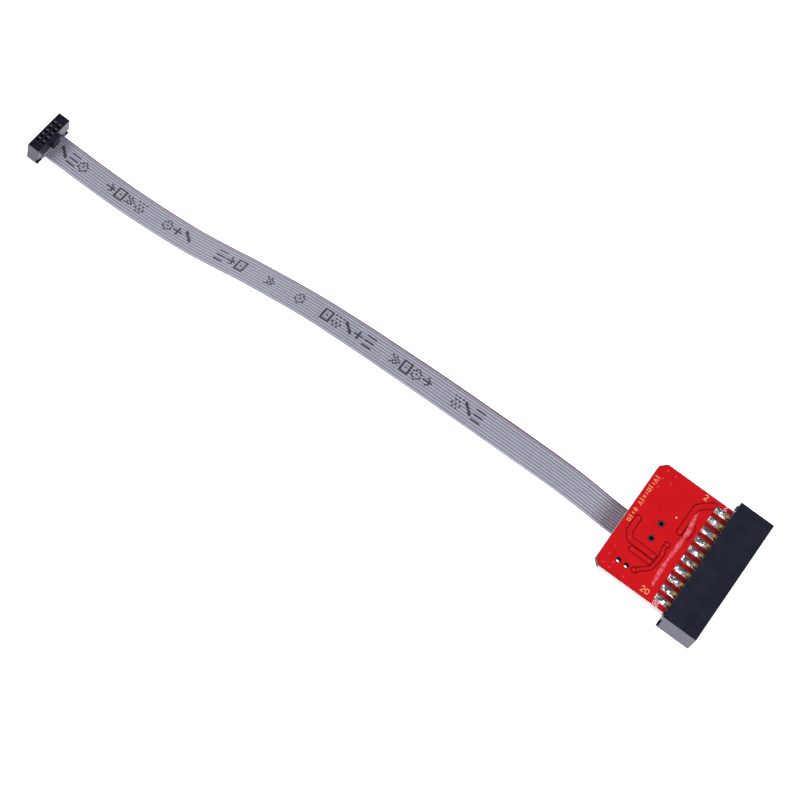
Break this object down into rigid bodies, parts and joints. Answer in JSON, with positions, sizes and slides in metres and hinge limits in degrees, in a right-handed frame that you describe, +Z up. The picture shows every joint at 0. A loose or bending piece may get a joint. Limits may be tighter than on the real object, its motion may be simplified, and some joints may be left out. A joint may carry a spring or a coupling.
{
  "type": "ribbon cable adapter",
  "caption": "Small red circuit board with a black two-row edge socket, a plug-in header under it and a flat grey ribbon cable ending in a small keyed plug.",
  "frame": {"origin": "on the table, middle of the lower front edge of the 20-way socket's key rib", "axes": "+X leaves the socket's mating face (11 degrees above level with the board, since the board leans on its near plug), +Y runs along the socket towards its first contact and the ribbon's red edge, +Z is up"},
  "size_m": [0.1717, 0.0302, 0.0115],
  "materials": {
    "board_red": "glossy solder mask over pale glass laminate",
    "copper_plating": "copper plating",
    "gold_plating": "thin gold over copper",
    "housing_black": "satin moulded",
    "plug_black": "satin moulded",
    "contact_gold": "gold flash",
    "contact_tin": "tin plated",
    "solder": "bright reflowed solder",
    "ribbon_grey": "satin grey insulation with a red first conductor and dark print",
    "core_copper": "stranded copper"
  },
  "bodies": {
    "board": {"circuit_board": "board_red", "plated_vias": "copper_plating", "upper_edge_pads": "gold_plating", "lower_edge_pads": "gold_plating", "socket_housing": "housing_black", "socket_contacts_upper": "contact_gold", "socket_contacts_lower": "contact_gold", "solder_joints_upper": "solder", "solder_joints_lower": "solder", "header_shroud": "housing_black", "header_pins_front_row": "contact_gold", "header_pins_back_row": "contact_gold", "header_pads": "gold_plating", "header_solder_joints": "solder"},
    "near_plug": {"near_plug_body": "plug_black", "near_plug_cover": "plug_black", "near_plug_contacts": "contact_tin", "ribbon_insulation_01": "ribbon_grey", "ribbon_wires_01": "core_copper"},
    "ribbon_02": {"ribbon_insulation_02": "ribbon_grey", "ribbon_wires_02": "core_copper"},
    "ribbon_03": {"ribbon_insulation_03": "ribbon_grey", "ribbon_wires_03": "core_copper"},
    "ribbon_04": {"ribbon_insulation_04": "ribbon_grey", "ribbon_wires_04": "core_copper"},
    "ribbon_05": {"ribbon_insulation_05": "ribbon_grey", "ribbon_wires_05": "core_copper"},
    "ribbon_06": {"ribbon_insulation_06": "ribbon_grey", "ribbon_wires_06": "core_copper"},
    "ribbon_07": {"ribbon_insulation_07": "ribbon_grey", "ribbon_wires_07": "core_copper"},
    "ribbon_08": {"ribbon_insulation_08": "ribbon_grey", "ribbon_wires_08": "core_copper"},
    "ribbon_09": {"ribbon_insulation_09": "ribbon_grey", "ribbon_wires_09": "core_copper"},
    "ribbon_10": {"ribbon_insulation_10": "ribbon_grey", "ribbon_wires_10": "core_copper"},
    "ribbon_11": {"ribbon_insulation_11": "ribbon_grey", "ribbon_wires_11": "core_copper"},
    "ribbon_12": {"ribbon_insulation_12": "ribbon_grey", "ribbon_wires_12": "core_copper"},
    "far_plug": {"far_plug_body": "plug_black", "far_plug_cover": "plug_black", "far_plug_contacts": "contact_tin", "ribbon_insulation_13": "ribbon_grey", "ribbon_wires_13": "core_copper"}
  },
  "joints": [
    {"name": "near_plug_pull", "type": "slide", "parent": "board", "child": "near_plug", "axis": [-0.1928, 0, -0.9812], "range_m": [0, 0.006]},
    {"name": "ribbon_near_bend_1", "type": "hinge", "parent": "near_plug", "child": "ribbon_02", "pos_m": [-0.027, 0, 0.00309], "axis": [0.0088, 0.9997, 0.0234], "range_deg": [-40, 40], "stiffness_Nm_per_rad": 0.0008},
    {"name": "ribbon_near_bend_2", "type": "hinge", "parent": "ribbon_02", "child": "ribbon_03", "pos_m": [-0.038, 0.00004, 0.0065], "axis": [0.0257, 0.9948, 0.0988], "range_deg": [-40, 40], "stiffness_Nm_per_rad": 0.0008},
    {"name": "ribbon_middle_bend_1", "type": "hinge", "parent": "ribbon_03", "child": "ribbon_04", "pos_m": [-0.052, 0.00019, 0.00865], "axis": [0.0355, 0.985, 0.1688], "range_deg": [-30, 30], "stiffness_Nm_per_rad": 0.0008},
    {"name": "ribbon_twist_1", "type": "hinge", "parent": "ribbon_04", "child": "ribbon_05", "pos_m": [-0.061, 0.00034, 0.00961], "axis": [0.995, -0.0205, -0.0977], "range_deg": [-30, 30], "stiffness_Nm_per_rad": 0.0008},
    {"name": "ribbon_middle_bend_2", "type": "hinge", "parent": "ribbon_05", "child": "ribbon_06", "pos_m": [-0.07, 0.00056, 0.01042], "axis": [0.0341, 0.9958, 0.0853], "range_deg": [-30, 30], "stiffness_Nm_per_rad": 0.0008},
    {"name": "ribbon_middle_bend_3", "type": "hinge", "parent": "ribbon_06", "child": "ribbon_07", "pos_m": [-0.086, 0.00106, 0.01105], "axis": [0.0363, 0.9993, -0.0097], "range_deg": [-30, 30], "stiffness_Nm_per_rad": 0.0008},
    {"name": "ribbon_twist_2", "type": "hinge", "parent": "ribbon_07", "child": "ribbon_08", "pos_m": [-0.094, 0.00137, 0.01092], "axis": [0.9984, -0.0393, 0.0416], "range_deg": [-30, 30], "stiffness_Nm_per_rad": 0.0008},
    {"name": "ribbon_middle_bend_4", "type": "hinge", "parent": "ribbon_08", "child": "ribbon_09", "pos_m": [-0.102, 0.00169, 0.01038], "axis": [0.0575, 0.9911, -0.12], "range_deg": [-30, 30], "stiffness_Nm_per_rad": 0.0008},
    {"name": "ribbon_far_bend_1", "type": "hinge", "parent": "ribbon_09", "child": "ribbon_10", "pos_m": [-0.116, 0.00229, 0.00772], "axis": [0.0791, 0.9868, -0.1415], "range_deg": [-30, 30], "stiffness_Nm_per_rad": 0.0008},
    {"name": "ribbon_twist_3", "type": "hinge", "parent": "ribbon_10", "child": "ribbon_11", "pos_m": [-0.124, 0.00268, 0.00547], "axis": [0.9661, -0.0516, 0.253], "range_deg": [-30, 30], "stiffness_Nm_per_rad": 0.0008},
    {"name": "ribbon_far_bend_2", "type": "hinge", "parent": "ribbon_11", "child": "ribbon_12", "pos_m": [-0.132, 0.00314, 0.00353], "axis": [0.0863, 0.9894, -0.1169], "range_deg": [-30, 30], "stiffness_Nm_per_rad": 0.0008},
    {"name": "ribbon_far_bend_3", "type": "hinge", "parent": "ribbon_12", "child": "far_plug", "pos_m": [-0.148, 0.00431, 0.00167], "axis": [0.0848, 0.9918, -0.0955], "range_deg": [-30, 30], "stiffness_Nm_per_rad": 0.0008}
  ],
  "couplings": [
    {"joint": "ribbon_near_bend_2", "follows": "ribbon_near_bend_1", "ratio": 1},
    {"joint": "ribbon_middle_bend_2", "follows": "ribbon_middle_bend_1", "ratio": 1},
    {"joint": "ribbon_middle_bend_3", "follows": "ribbon_middle_bend_1", "ratio": 1},
    {"joint": "ribbon_twist_2", "follows": "ribbon_twist_1", "ratio": 1},
    {"joint": "ribbon_middle_bend_4", "follows": "ribbon_middle_bend_1", "ratio": 1},
    {"joint": "ribbon_twist_3", "follows": "ribbon_twist_1", "ratio": 1},
    {"joint": "ribbon_far_bend_2", "follows": "ribbon_far_bend_1", "ratio": 1},
    {"joint": "ribbon_far_bend_3", "follows": "ribbon_far_bend_1", "ratio": 1}
  ]
}
